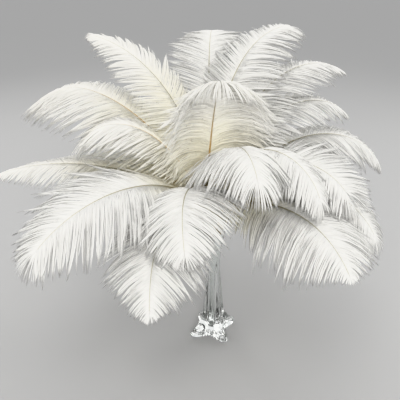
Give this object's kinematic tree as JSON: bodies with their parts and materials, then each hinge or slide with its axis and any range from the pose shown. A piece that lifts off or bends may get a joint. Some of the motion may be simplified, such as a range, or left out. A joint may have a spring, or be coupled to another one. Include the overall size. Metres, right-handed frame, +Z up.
{
  "type": "ostrich feather arrangement in a glass vase",
  "caption": "White ostrich plumes with drooping vanes fanned out of a clear pressed-glass trumpet vase on a four-pointed star foot.",
  "frame": {"origin": "centre of the flat underside of the vase's foot, on the surface that it stands on", "axes": "+Z up along the vase's axis; -Y towards the arrangement's front, +X to the right seen from the front"},
  "size_m": [0.7311, 0.6669, 0.605],
  "materials": {
    "glass": "clear, fire-polished",
    "feather": "soft, matt, off-white barbs on a cream to tan shaft"
  },
  "bodies": {
    "root": {"vase": "glass", "feather_01": "feather", "feather_02": "feather", "feather_03": "feather", "feather_04": "feather", "feather_05": "feather", "feather_06": "feather", "feather_07": "feather", "feather_08": "feather", "feather_09": "feather", "feather_10": "feather", "feather_11": "feather", "feather_12": "feather", "feather_13": "feather", "feather_14": "feather", "feather_15": "feather", "feather_16": "feather", "feather_17": "feather", "feather_18": "feather", "feather_19": "feather", "feather_20": "feather", "feather_21": "feather", "feather_22": "feather", "feather_23": "feather", "feather_24": "feather", "feather_25": "feather"}
  },
  "joints": []
}
